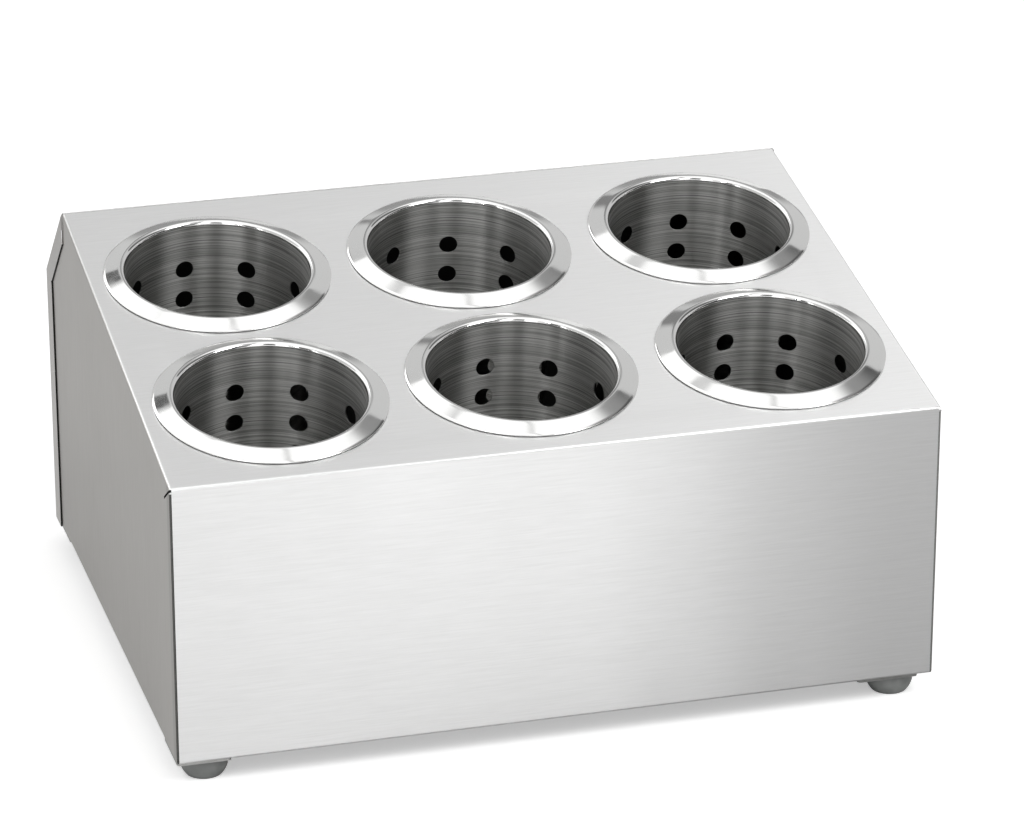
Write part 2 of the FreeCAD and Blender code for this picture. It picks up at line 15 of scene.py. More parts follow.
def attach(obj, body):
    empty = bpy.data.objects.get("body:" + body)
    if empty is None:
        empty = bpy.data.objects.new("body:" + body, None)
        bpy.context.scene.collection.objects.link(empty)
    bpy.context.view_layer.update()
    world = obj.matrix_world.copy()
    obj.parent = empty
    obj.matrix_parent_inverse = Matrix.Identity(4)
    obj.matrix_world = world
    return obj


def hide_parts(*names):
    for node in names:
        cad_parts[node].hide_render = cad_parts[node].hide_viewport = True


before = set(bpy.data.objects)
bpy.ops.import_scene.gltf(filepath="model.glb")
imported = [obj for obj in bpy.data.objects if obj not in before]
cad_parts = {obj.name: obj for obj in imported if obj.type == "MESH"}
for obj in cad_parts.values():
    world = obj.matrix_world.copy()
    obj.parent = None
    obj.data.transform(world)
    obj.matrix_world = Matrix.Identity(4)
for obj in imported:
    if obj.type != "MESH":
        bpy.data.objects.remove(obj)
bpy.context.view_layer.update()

logging.basicConfig(level=logging.INFO, format="%(message)s")
LOG = logging.getLogger("cutlery_dispenser")

MM = 0.001
FULL_TURN = 2.0 * math.pi

# Points nearer than this to each other are one point: within one sheet or tile, and between tiles.
FINE_WELD = 0.001 * MM
WELD = 0.01 * MM

# Name of the attribute that holds where a point of a cup lies: two places square to the cup's axis,
# and its height less how far it lies outside the wall, so that rings go on over the flange.
LATHE_PLACE = "lathe_place"

Tree = bpy.types.NodeTree
Node = bpy.types.Node
Source = bpy.types.NodeSocket | Node
Pair = tuple[float, float]
Triple = tuple[float, float, float]


class Grain(Enum):
    """Which way the polishing lines of a sheet run."""

    ACROSS = "across"
    FOLDED = "folded"


def linear(hex_colour: str) -> tuple[float, float, float, float]:
    """Turn an sRGB hex colour into linear light.

    Args:
        hex_colour: Six hex digits, with or without a leading hash.

    Returns:
        Red, green and blue in linear light, and an alpha of 1.
    """
    digits = hex_colour.lstrip("#")
    channels = []
    for start in (0, 2, 4):
        level = int(digits[start:start + 2], 16) / 255.0
        if level <= 0.04045:
            channels.append(level / 12.92)
        else:
            channels.append(((level + 0.055) / 1.055) ** 2.4)
    return (channels[0], channels[1], channels[2], 1.0)


def add_node(tree: Tree, kind: str, inputs: dict | None = None, **settings) -> Node:
    """Add a node with its settings, and fill or link its inputs.

    Args:
        tree: The node tree that gets the node.
        kind: The node's type name.
        inputs: Values, output sockets, or nodes whose first live output is meant, by the input's name
            or number.
        **settings: Properties of the node itself.

    Returns:
        The new node.
    """
    node = tree.nodes.new(kind)
    for name, setting in settings.items():
        setattr(node, name, setting)
    for name, source in (inputs or {}).items():
        if isinstance(source, Node):
            source = next(output for output in source.outputs if output.enabled)
        if isinstance(source, bpy.types.NodeSocket):
            tree.links.new(source, node.inputs[name])
        else:
            node.inputs[name].default_value = source
    return node


def new_material(name: str) -> tuple[bpy.types.Material, Tree]:
    """Start a material that holds no node yet.

    Args:
        name: The finish's name.

    Returns:
        The material and its node tree.
    """
    material = bpy.data.materials.new(name)
    material.use_nodes = True
    material.node_tree.nodes.clear()
    return material, material.node_tree


# ---------------------------------------------------------------- finishes


@dataclass(frozen=True)
class Finish:
    """A finish: its name and the surface that its material shows."""

    name: str

    def surface(self, tree: Tree) -> dict:
        """Add the finish's own nodes.

        Args:
            tree: The material's node tree.

        Returns:
            The shader's inputs.
        """
        raise NotImplementedError(f"{self.name} has no surface")

    def material(self) -> bpy.types.Material:
        """Build the finish as a node material.

        Returns:
            The material.
        """
        material, tree = new_material(self.name)
        shader = add_node(tree, "ShaderNodeBsdfPrincipled", self.surface(tree))
        add_node(tree, "ShaderNodeOutputMaterial", {"Surface": shader})
        return material


@dataclass(frozen=True, kw_only=True)
class LinedSteel(Finish):
    """What ground and turned steel share: fine lines that vary the gloss and smear reflections."""

    colour_dark: str
    colour_light: str
    roughness_low: float
    roughness_high: float
    anisotropy: float
    line_length: float
    line_width: float
    line_depth: float
    line_strength: float
    line_detail: float
    line_raggedness: float
    gloss_span: Pair = (0.25, 0.75)

    def lines(self, tree: Tree, place: Source) -> tuple[Source, Source]:
        """Add the lines and the bump that they make.

        Args:
            tree: The node tree.
            place: Where the point is, stretched so that a line is one unit wide and long.

        Returns:
            The lines' height and the bumped normal.
        """
        height = add_node(
            tree, "ShaderNodeTexNoise",
            {"Vector": place, "Scale": 1.0, "Detail": self.line_detail, "Roughness": self.line_raggedness},
        )
        bump = add_node(
            tree, "ShaderNodeBump",
            {"Height": height, "Strength": self.line_strength, "Distance": self.line_depth},
        )
        return height, bump

    def metal(self, tree: Tree, colour: Source, gloss: Source, bump: Source, smear: Source) -> dict:
        """Put the inputs of a smeared metal shader together.

        Args:
            tree: The node tree.
            colour: The metal's colour.
            gloss: The pattern that the gloss follows, shiniest where it is high.
            bump: The bumped normal.
            smear: The direction that the anisotropy follows.

        Returns:
            The shader's inputs.
        """
        roughness = add_node(
            tree, "ShaderNodeMapRange",
            {"Value": gloss, "From Min": self.gloss_span[0], "From Max": self.gloss_span[1],
             "To Min": self.roughness_high, "To Max": self.roughness_low},
        )
        return {
            "Base Color": colour, "Metallic": 1.0, "Roughness": roughness, "Normal": bump,
            "Anisotropic": self.anisotropy, "Tangent": smear,
        }


@dataclass(frozen=True, kw_only=True)
class BrushedSheet(LinedSteel):
    """Stainless sheet ground with an abrasive belt: long fine lines that smear reflections across them.

    The belt's own lines are a few hundredths of a millimetre wide, so they are drawn coarser to show.
    """

    grain: Grain
    colour_dark: str = "#e4e4e3"
    colour_light: str = "#ffffff"
    # Warm grey that the upright sides are multiplied by: a warm tint, and painted shade that makes the
    # sides darker than the front and top of the same sheet.
    side_tint_and_shade: str = "#d3d1ce"
    roughness_low: float = 0.31
    roughness_high: float = 0.37
    anisotropy: float = 0.9
    line_length: float = 22 * MM
    line_width: float = 0.7 * MM
    line_depth: float = 0.004 * MM
    line_strength: float = 0.35
    line_detail: float = 5.0
    line_raggedness: float = 0.65
    cloud_size: float = 70 * MM
    cloud_detail: float = 2.0
    cloud_share: float = 0.25
    side_slant: float = 0.7

    # The strip of painted shade beside the front seam on the sides ends here, going back. As it stands,
    # that is far ahead of any sheet.
    seam_shade_edge: float = -1.0
    seam_shade_blur: float = 0.6 * MM
    seam_shade_share: float = 0.84

    def surface(self, tree: Tree) -> dict:
        """Run the lines along the grain, which turns with the folds of a folded sheet.

        Args:
            tree: The material's node tree.

        Returns:
            The shader's inputs.
        """
        place = add_node(tree, "ShaderNodeTexCoord").outputs["Object"]
        normal = add_node(tree, "ShaderNodeNewGeometry").outputs["Normal"]
        facing = add_node(tree, "ShaderNodeSeparateXYZ", {0: normal}).outputs["X"]
        sideways = add_node(tree, "ShaderNodeMath", {0: facing}, operation="ABSOLUTE")
        is_side = add_node(
            tree, "ShaderNodeMath", {0: sideways, 1: self.side_slant}, operation="GREATER_THAN",
        )
        along, over = 1.0 / self.line_length, 1.0 / self.line_width
        if self.grain is Grain.FOLDED:
            side_scale, side_way = (over, over, along), (0.0, 0.0, 1.0)
        else:
            side_scale, side_way = (over, along, over), (0.0, 1.0, 0.0)
        stretched, side_stretched = (
            add_node(tree, "ShaderNodeMapping", {"Vector": place, "Scale": scale})
            for scale in ((along, over, over), side_scale)
        )
        lines_place, grain_way = (
            add_node(
                tree, "ShaderNodeMix", {"Factor": is_side, "A": flat, "B": side}, data_type="VECTOR",
            )
            for flat, side in ((stretched, side_stretched), ((1.0, 0.0, 0.0), side_way))
        )
        lines, bump = self.lines(tree, lines_place)
        clouds = add_node(
            tree, "ShaderNodeTexNoise",
            {"Vector": place, "Scale": 1.0 / self.cloud_size, "Detail": self.cloud_detail},
        )
        mixed = add_node(tree, "ShaderNodeMix", {"Factor": self.cloud_share, "A": lines, "B": clouds})
        colour = add_node(
            tree, "ShaderNodeMix",
            {"Factor": mixed, "A": linear(self.colour_dark), "B": linear(self.colour_light)},
            data_type="RGBA",
        )
        sides = self.side_colour(tree, colour, place)
        colour = add_node(
            tree, "ShaderNodeMix", {"Factor": is_side, "A": colour, "B": sides}, data_type="RGBA",
        )
        smear = add_node(
            tree, "ShaderNodeVectorMath", {0: normal, 1: grain_way}, operation="CROSS_PRODUCT",
        )
        return self.metal(tree, colour, mixed, bump, smear)

    def side_colour(self, tree: Tree, colour: Source, place: Source) -> Source:
        """Tint the upright sides warmer and darker, the darkening being painted shade, and darken the strip
        beside the front seam with painted shade.

        Args:
            tree: The node tree.
            colour: The sheet's own colour.
            place: Where the point is.

        Returns:
            The sides' colour.
        """
        # Warm tint with painted shade: the sides are multiplied by a warm grey that is darker than the
        # front and top.
        tinted = add_node(
            tree, "ShaderNodeMix", {"Factor": 1.0, "A": colour, "B": linear(self.side_tint_and_shade)},
            data_type="RGBA", blend_type="MULTIPLY",
        )
        # Painted shade beside the front seam: the sides are darkened towards the front, up to the strip's
        # end.
        back = add_node(tree, "ShaderNodeSeparateXYZ", {0: place}).outputs["Y"]
        share = add_node(
            tree, "ShaderNodeMapRange",
            {"Value": back, "From Min": self.seam_shade_edge - self.seam_shade_blur,
             "From Max": self.seam_shade_edge + self.seam_shade_blur, "To Min": self.seam_shade_share, "To Max": 1.0},
        )
        return add_node(tree, "ShaderNodeVectorMath", {0: tinted, "Scale": share}, operation="SCALE")


@dataclass(frozen=True, kw_only=True)
class TurnedSteel(LinedSteel):
    """Stainless wall polished on a spindle: rings that smear reflections into upright bands.

    The polisher's own rings are a few hundredths of a millimetre wide, so they are drawn coarser to show.
    """

    axis: Triple
    colour_dark: str = "#7e7e7c"
    colour_light: str = "#e6e6e4"
    roughness_low: float = 0.29
    roughness_high: float = 0.37
    anisotropy: float = 0.98
    line_length: float = 90 * MM
    line_width: float = 0.42 * MM
    line_depth: float = 0.012 * MM
    line_strength: float = 0.5
    line_detail: float = 3.0
    line_raggedness: float = 0.6
    tone_span: Pair = (0.32, 0.68)

    def surface(self, tree: Tree) -> dict:
        """Run the lines as rings round the cup.

        Args:
            tree: The material's node tree.

        Returns:
            The shader's inputs.
        """
        place = add_node(tree, "ShaderNodeAttribute", attribute_name=LATHE_PLACE).outputs["Vector"]
        scale = (1.0 / self.line_length, 1.0 / self.line_length, 1.0 / self.line_width)
        stretched = add_node(tree, "ShaderNodeMapping", {"Vector": place, "Scale": scale})
        rings, bump = self.lines(tree, stretched)
        cut = add_node(
            tree, "ShaderNodeMapRange",
            {"Value": rings, "From Min": self.tone_span[0], "From Max": self.tone_span[1]},
        )
        colour = add_node(
            tree, "ShaderNodeMix",
            {"Factor": cut, "A": linear(self.colour_dark), "B": linear(self.colour_light)},
            data_type="RGBA",
        )
        smear = add_node(tree, "ShaderNodeCombineXYZ", dict(enumerate(self.axis)))
        return self.metal(tree, colour, rings, bump, smear)


@dataclass(frozen=True)
class Speckle:
    """A random pattern: the size of its spots and how much finer detail they have."""

    size: float
    detail: float


@dataclass(frozen=True)
class MarkedSurface(Finish):
    """What the plainer finishes share: a tone and a gloss that drift, and small marks in relief."""

    colours: tuple[str, str]
    roughness: Pair
    tone: Speckle
    marks: Speckle
    mark_strength: float
    mark_depth: float
    metallic: float = 1.0
    specular: float = 0.5
    gloss_span: Pair = (0.3, 0.7)

    def surface(self, tree: Tree) -> dict:
        """Let the tone drift between the two colours and the two roughnesses, and raise the marks.

        Args:
            tree: The material's node tree.

        Returns:
            The shader's inputs. A colour or a roughness that is the same all over is a plain value.
        """
        place = add_node(tree, "ShaderNodeTexCoord").outputs["Object"]
        tone, marks = (
            add_node(
                tree, "ShaderNodeTexNoise",
                {"Vector": place, "Scale": 1.0 / speckle.size, "Detail": speckle.detail},
            )
            for speckle in (self.tone, self.marks)
        )
        colour, light = (linear(shade) for shade in self.colours)
        if colour != light:
            colour = add_node(
                tree, "ShaderNodeMix", {"Factor": tone, "A": colour, "B": light}, data_type="RGBA",
            )
        roughness, dullest = self.roughness
        if roughness != dullest:
            roughness = add_node(
                tree, "ShaderNodeMapRange",
                {"Value": tone, "From Min": self.gloss_span[0], "From Max": self.gloss_span[1],
                 "To Min": roughness, "To Max": dullest},
            )
        bump = add_node(
            tree, "ShaderNodeBump",
            {"Height": marks, "Strength": self.mark_strength, "Distance": self.mark_depth},
        )
        return {
            "Base Color": colour, "Metallic": self.metallic, "Roughness": roughness, "Normal": bump,
            "Specular IOR Level": self.specular,
        }


@dataclass(frozen=True)
class ShearedEdge(MarkedSurface):
    """The raw rim of a sheet from the shear: torn and dull. Its own colours are darker than its faces,
    partly as painted shade of the seams and gaps that the rims lie in.
    """

    # Dark partly as painted shade of the seams and gaps, beyond the raw rim's own dullness.
    colours: tuple[str, str] = ("#4c4c4a", "#767674")
    roughness: Pair = (0.5, 0.5)
    tone: Speckle = Speckle(0.8 * MM, 2.0)
    marks: Speckle = Speckle(0.8 * MM, 2.0)
    mark_strength: float = 0.5
    mark_depth: float = 0.05 * MM


@dataclass(frozen=True)
class PolishedSteel(MarkedSurface):
    """Buffed stainless: a near mirror with a faint haze of buffing marks."""

    colours: tuple[str, str] = ("#e4e4e3", "#e4e4e3")
    roughness: Pair = (0.05, 0.11)
    tone: Speckle = Speckle(6 * MM, 3.0)
    marks: Speckle = Speckle(0.8 * MM, 3.0)
    mark_strength: float = 0.3
    mark_depth: float = 0.002 * MM


@dataclass(frozen=True)
class MouldedRubber(MarkedSurface):
    """Grey rubber from a matt mould: soft sheen, fine pebble and a little dust."""

    colours: tuple[str, str] = ("#616362", "#8d8f8d")
    roughness: Pair = (0.55, 0.55)
    tone: Speckle = Speckle(9 * MM, 4.0)
    marks: Speckle = Speckle(0.6 * MM, 2.0)
    mark_strength: float = 0.5
    mark_depth: float = 0.05 * MM
    metallic: float = 0.0
    specular: float = 0.4


@dataclass(frozen=True)
class RolledSteel(MarkedSurface):
    """Plain cold-rolled stainless for plates and fasteners: a soft grey shine with small marks."""

    colours: tuple[str, str] = ("#a6a6a4", "#c6c6c4")
    roughness: Pair = (0.3, 0.45)
    tone: Speckle = Speckle(2.5 * MM, 4.0)
    marks: Speckle = Speckle(2.5 * MM, 4.0)
    mark_strength: float = 0.4
    mark_depth: float = 0.01 * MM


# ------------------------------------------------------------ mesh helpers


def new_object(name: str, mesh: bpy.types.Mesh) -> bpy.types.Object:
    """Link a mesh into the scene as an object at the origin.

    Args:
        name: The object's name.
        mesh: Its mesh.

    Returns:
        The object.
    """
    made = bpy.data.objects.new(name, mesh)
    bpy.context.scene.collection.objects.link(made)
    return made


def live_mesh(piece: bpy.types.Object) -> bpy.types.Mesh:
    """Turn a piece's live modifiers into plain mesh.

    Args:
        piece: The piece, at the origin.

    Returns:
        The mesh as the modifiers leave it.
    """
    depsgraph = bpy.context.evaluated_depsgraph_get()
    return bpy.data.meshes.new_from_object(piece.evaluated_get(depsgraph), depsgraph=depsgraph)


def arc(centre: Pair, radius: float, start: float, end: float, steps: int) -> list[Pair]:
    """Place points along an arc.

    Args:
        centre: The arc's centre.
        radius: Its radius.
        start: Angle of the first point, in radians.
        end: Angle of the last point.
        steps: How many parts the arc is cut into.

    Returns:
        The points, one more than the parts.
    """
    turns = [start + (end - start) * step / steps for step in range(steps + 1)]
    return [(centre[0] + radius * math.cos(turn), centre[1] + radius * math.sin(turn)) for turn in turns]


def smooth_copy(node: str, name: str, sharp_angle: float) -> bpy.types.Object:
    """Copy a solid's mesh with its triangles joined, so that its bends shade smoothly.

    Args:
        node: The solid's name.
        name: The new piece's name.
        sharp_angle: Faces that meet at more than this, in degrees, keep a hard edge.

    Returns:
        The new piece.
    """
    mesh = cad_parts[node].data.copy()
    work = bmesh.new()
    work.from_mesh(mesh)
    bmesh.ops.remove_doubles(work, verts=work.verts, dist=FINE_WELD)
    work.to_mesh(mesh)
    work.free()
    mesh.materials.clear()
    mesh.shade_smooth()
    mesh.set_sharp_from_angle(angle=math.radians(sharp_angle))
    piece = new_object(name, mesh)
    weights = piece.modifiers.new("flat_faces_first", "WEIGHTED_NORMAL")
    weights.keep_sharp = True
    final = live_mesh(piece)
    piece.modifiers.clear()
    piece.data = final
    return piece


# ------------------------------------------------------------------- cups


@dataclass(frozen=True)
class CupSpot:
    """Where one cup hangs, how far it is turned in its hole and where it sits in the hole's play."""

    row: str
    column: str
    turn: float
    sit: float

    @property
    def node(self) -> str:
        """Name of the cup's solid."""
        return f"cup_{self.row}_{self.column}"

    @property
    def body(self) -> str:
        """Name of the body that the cup is."""
        return f"{self.row}_{self.column}_cup"


CUP_SPOTS = (
    CupSpot("front", "left", 19.0, -0.27),
    CupSpot("front", "middle", 16.0, -0.88),
    CupSpot("front", "right", 19.0, -0.37),
    CupSpot("rear", "left", 18.5, -0.14),
    CupSpot("rear", "middle", 1.0, -0.53),
    CupSpot("rear", "right", 4.0, -0.03),
)


@dataclass(frozen=True)
class SlopingTop:
    """The housing's sloping top, which the cups hang from."""

    depth: float = 327 * MM
    run: float = 272 * MM
    rise: float = 49 * MM
    front_height: float = 150 * MM
    ground_drop: float = 13.5 * MM
    column_pitch: float = 132.7 * MM
    first_row: float = 70.8 * MM
    row_pitch: float = 127.5 * MM
    hole_play: float = 2.5 * MM

    @property
    def angle(self) -> float:
        """Slope in radians."""
        return math.atan2(self.rise, self.run)

    @property
    def upward(self) -> Triple:
        """Direction square to the slope."""
        return (0.0, -math.sin(self.angle), math.cos(self.angle))

    @property
    def front_edge(self) -> Vector:
        """Middle of the fold between the front and the top."""
        return Vector((0.0, -self.depth / 2, self.ground_drop + self.front_height))

    def place(self, spot: CupSpot) -> Matrix:
        """Find where a cup's own frame lies.

        Args:
            spot: The cup's spot.

        Returns:
            The matrix that takes the cup's own coordinates to its place in the dispenser.
        """
        across = {"left": -1, "middle": 0, "right": 1}[spot.column] * self.column_pitch
        across += spot.sit * self.hole_play
        along = self.first_row + {"front": 0, "rear": 1}[spot.row] * self.row_pitch
        slope = Matrix.Rotation(self.angle, 4, "X")
        on_slope = Matrix.Translation((across, along, 0.0))
        turn = Matrix.Rotation(math.radians(spot.turn), 4, "Z")
        return Matrix.Translation(self.front_edge) @ slope @ on_slope @ turn


@dataclass
class PerforatedCup:
    """One flanged cup with rows of round holes in its wall and a ring of them in its base."""

    inside_radius: float = 48.7 * MM
    skin: float = 0.8 * MM
    depth: float = 137 * MM
    seat_gap: float = 0.3 * MM
    flange_radius: float = 60 * MM
    flange_slope: float = 19.0
    lip_radius: float = 2.2 * MM
    corner_radius: float = 4.2 * MM
    wall_hole: float = 5 * MM
    first_hole_depth: float = 24 * MM
    hole_row_pitch: float = 18.4 * MM
    hole_rows: int = 6
    hole_columns: int = 9
    base_hole: float = 4 * MM
    base_ring: float = 30 * MM
    base_holes: int = 8
    band_half: float = 8 * MM
    punched_edge: float = 0.12 * MM
    bevel_angle: float = 50.0
    sharp_angle: float = 35.0

    # How many parts the cup is cut into: once round, over the flange's cone, its lip, the solid collar
    # below it, the corner and the middle of the base, and up a tile and on each side of a tile's hole.
    segments: int = 216
    cone_steps: int = 6
    lip_steps: int = 14
    collar_steps: int = 8
    corner_steps: int = 8
    middle_steps: int = 4
    tile_steps: int = 8
    side_strips: int = 6

    # Where the rings round a hole lie, from its rim to the border of its square.
    ring_shares: tuple[float, ...] = (0.0, 0.12, 0.35, 0.65, 1.0)

    @property
    def floor_level(self) -> float:
        """Height of the base's inner face."""
        return self.seat_gap - self.depth + self.skin

    def flange_profile(self) -> list[Pair]:
        """Follow the flange from its edge over the lip to the top of the wall.

        Returns:
            Radius and height of each point.
        """
        slope = math.radians(self.flange_slope)
        edge = (self.flange_radius, self.seat_gap + self.skin / math.cos(slope))
        centre_radius = self.inside_radius + self.lip_radius
        cone_height = edge[1] + (edge[0] - centre_radius) * math.tan(slope)
        centre = (centre_radius, cone_height - self.lip_radius / math.cos(slope))
        lip = arc(centre, self.lip_radius, math.pi / 2 - slope, math.pi, self.lip_steps)
        cone = [
            tuple(outer + (inner - outer) * part / self.cone_steps for outer, inner in zip(edge, lip[0]))
            for part in range(self.cone_steps)
        ]
        return cone + lip

    def corner_profile(self) -> list[Pair]:
        """Go round the corner from the wall's foot to the base.

        Returns:
            Radius and height of each point.
        """
        centre = (self.inside_radius - self.corner_radius, self.floor_level + self.corner_radius)
        return arc(centre, self.corner_radius, 0.0, -math.pi / 2, self.corner_steps)

    def lathe(self, work: bmesh.types.BMesh, profile: list[Pair], slot: int) -> None:
        """Turn a profile once round the cup's axis.

        Args:
            work: The mesh in the making.
            profile: Radius and height of each ring.
            slot: The material slot of its faces.
        """
        rings = []
        for radius, height in profile:
            ring = []
            for number in range(self.segments):
                turn = FULL_TURN * number / self.segments
                ring.append(work.verts.new((radius * math.cos(turn), radius * math.sin(turn), height)))
            rings.append(ring)
        for upper, lower in zip(rings, rings[1:]):
            for number in range(self.segments):
                after = (number + 1) % self.segments
                face = work.faces.new((upper[number], lower[number], lower[after], upper[after]))
                face.material_index = slot

    def wall_tile(self) -> bpy.types.Mesh:
        """Make one cell of the wall with its hole, bent to the wall's radius and centred on +X.

        Returns:
            The cell.
        """
        def bend(along: float, up: float) -> Vector:
            """Wrap a place on the flat sheet round the wall."""
            turn = along / self.inside_radius
            side = (self.inside_radius * math.cos(turn), self.inside_radius * math.sin(turn))
            return Vector((*side, up - self.first_hole_depth))

        across = self.segments // self.hole_columns
        step = FULL_TURN / self.segments * self.inside_radius
        return self.tile("wall_tile", (across, step, self.hole_row_pitch / 2), self.wall_hole, bend)

    def base_tile(self) -> bpy.types.Mesh:
        """Make one sector of the base with its hole, centred on +X.

        Returns:
            The sector.
        """
        def spread(along: float, out: float) -> Vector:
            """Place an angle and a distance from the ring of holes on the base."""
            radius = self.base_ring + out
            return Vector((radius * math.cos(along), radius * math.sin(along), self.floor_level))

        across = self.segments // self.base_holes
        step = FULL_TURN / self.segments
        return self.tile("base_tile", (across, step, self.band_half), self.base_hole, spread, polar=True)

    def tile(
        self, name: str, grid: tuple[int, float, float], hole: float,
        to_space: Callable[[float, float], Vector], polar: bool = False,
    ) -> bpy.types.Mesh:
        """Make a tile: a square with a round hole in its middle, and plain strips on both its sides.

        Args:
            name: The tile's name.
            grid: How many columns the tile has, how wide each is, and half the tile's height, in the
                tile's own two coordinates.
            hole: The hole's radius.
            to_space: Takes the tile's two coordinates to a point in space.
            polar: Whether the first coordinate is an angle about the cup's axis.

        Returns:
            The tile, with its own seams welded.
        """
        across, step, half_height = grid
        inner = across - 2 * self.side_strips
        half_width = step * inner / 2
        work = bmesh.new()
        self.holed_square(work, (half_width, half_height), inner, hole, to_space, polar)
        for side in (-1, 1):
            for number in range(self.side_strips):
                near = side * (half_width + step * number)
                far = side * (half_width + step * (number + 1))
                for part in range(self.tile_steps):
                    low = half_height * (2 * part / self.tile_steps - 1)
                    high = half_height * (2 * (part + 1) / self.tile_steps - 1)
                    corners = [(near, low), (far, low), (far, high), (near, high)]
                    work.faces.new([work.verts.new(to_space(*corner)) for corner in corners])
        bmesh.ops.remove_doubles(work, verts=work.verts, dist=FINE_WELD)
        mesh = bpy.data.meshes.new(name)
        work.to_mesh(mesh)
        work.free()
        return mesh

    def holed_square(
        self, work: bmesh.types.BMesh, half: Pair, columns: int, hole: float,
        to_space: Callable[[float, float], Vector], polar: bool,
    ) -> None:
        """Fill the ground between a round hole and a square round it with rings of quads.

        Args:
            work: The mesh in the making.
            half: Half the square's width and height, in the tile's own two coordinates.
            columns: How many parts the square's width is cut into.
            hole: The hole's radius.
            to_space: Takes the tile's two coordinates to a point in space.
            polar: Whether the first coordinate is an angle about the cup's axis.
        """
        corners = ((-1, -1), (1, -1), (1, 1), (-1, 1), (-1, -1))
        border = []
        for start, end, parts in zip(corners, corners[1:], (columns, self.tile_steps) * 2):
            for number in range(parts):
                border.append(tuple(
                    size * (near + (far - near) * number / parts)
                    for size, near, far in zip(half, start, end)
                ))
        middle = to_space(0.0, 0.0)
        rings = []
        for share in self.ring_shares:
            ring = []
            for along, up in border:
                if polar:
                    way = to_space(along, up) - middle
                    reach = hole + (way.length - hole) * share
                    ring.append(middle + way.normalized() * reach)
                else:
                    length = math.hypot(along, up)
                    reach = hole + (length - hole) * share
                    ring.append(to_space(along / length * reach, up / length * reach))
            rings.append([work.verts.new(point) for point in ring])
        for inner, outer in zip(rings, rings[1:]):
            for number in range(len(inner)):
                after = (number + 1) % len(inner)
                work.faces.new((inner[number], outer[number], outer[after], inner[after]))

    def repeat(
        self, tile: bpy.types.Mesh, rows: int, columns: int, finish: bpy.types.Material,
    ) -> bpy.types.Mesh:
        """Repeat a tile down the cup and round its axis with Geometry Nodes.

        Args:
            tile: The mesh to repeat.
            rows: How many times it goes down, each time by the pitch of the rows of holes.
            columns: How many times it goes round.
            finish: The material of the result.

        Returns:
            One plain mesh with all the tiles welded.
        """
        carrier = new_object(tile.name, tile)
        modifier = carrier.modifiers.new("repeat", "NODES")
        tree = perforation_tree()
        modifier.node_group = tree
        wanted = {"Rows": rows, "Row Pitch": self.hole_row_pitch, "Columns": columns, "Finish": finish}
        for item in tree.interface.items_tree:
            if item.item_type == "SOCKET" and item.name in wanted:
                modifier[item.identifier] = wanted[item.name]
        result = live_mesh(carrier)
        bpy.data.objects.remove(carrier)
        return result

    def shell(self, finishes: list[bpy.types.Material]) -> bpy.types.Mesh:
        """Make the cup once, in its own frame.

        Args:
            finishes: Materials of the flange, the wall and the base, first inside and then outside.

        Returns:
            The finished mesh with its thickness.
        """
        mesh = bpy.data.meshes.new("cup_shell")
        work = self.inner_skin(finishes)
        work.to_mesh(mesh)
        work.free()
        for finish in finishes:
            mesh.materials.append(finish)
        piece = new_object("cup_shell", mesh)
        thick = piece.modifiers.new("sheet", "SOLIDIFY")
        thick.thickness = self.skin
        thick.offset = -1.0
        thick.material_offset = len(finishes) // 2
        thick.use_even_offset = True
        edge = piece.modifiers.new("punched_edge", "BEVEL")
        edge.width = self.punched_edge
        edge.segments = 2
        edge.limit_method = "ANGLE"
        edge.angle_limit = math.radians(self.bevel_angle)
        final = live_mesh(piece)
        bpy.data.objects.remove(piece)
        self.mark_lathe_places(final)
        final.shade_smooth()
        final.set_sharp_from_angle(angle=math.radians(self.sharp_angle))
        return final

    def inner_skin(self, finishes: list[bpy.types.Material]) -> bmesh.types.BMesh:
        """Put the turned parts and the holed tiles together as one skin without thickness.

        Args:
            finishes: The cup's materials, as for the shell.

        Returns:
            The skin, with its faces towards the cup's axis.
        """
        flange, wall, base = range(3)
        holes_top = -self.first_hole_depth + self.hole_row_pitch / 2
        holes_foot = holes_top - self.hole_row_pitch * self.hole_rows
        lip, corner = self.flange_profile(), self.corner_profile()
        top = lip[-1][1]
        collar = [
            (self.inside_radius, top + (holes_top - top) * part / self.collar_steps)
            for part in range(self.collar_steps + 1)
        ]
        foot_middle = (holes_foot + corner[0][1]) / 2
        foot = [(self.inside_radius, holes_foot), (self.inside_radius, foot_middle), corner[0]]
        rim = [corner[-1], (self.base_ring + self.band_half, self.floor_level)]
        ring_in = self.base_ring - self.band_half
        middle = [
            (ring_in + (self.base_hole - ring_in) * part / self.middle_steps, self.floor_level)
            for part in range(self.middle_steps + 1)
        ]
        work = bmesh.new()
        turned = ((lip, flange), (collar, wall), (foot, wall), (corner, base), (rim, base), (middle, base))
        for profile, slot in turned:
            self.lathe(work, profile, slot)
        tiles = (
            (self.wall_tile(), self.hole_rows, self.hole_columns, wall),
            (self.base_tile(), 1, self.base_holes, base),
        )
        for tile, rows, columns, slot in tiles:
            first = len(work.faces)
            work.from_mesh(self.repeat(tile, rows, columns, finishes[slot]))
            work.faces.ensure_lookup_table()
            for face in work.faces[first:]:
                face.material_index = slot
        bmesh.ops.remove_doubles(work, verts=work.verts, dist=WELD)
        bmesh.ops.recalc_face_normals(work, faces=work.faces)
        self.face_inward(work)
        return work

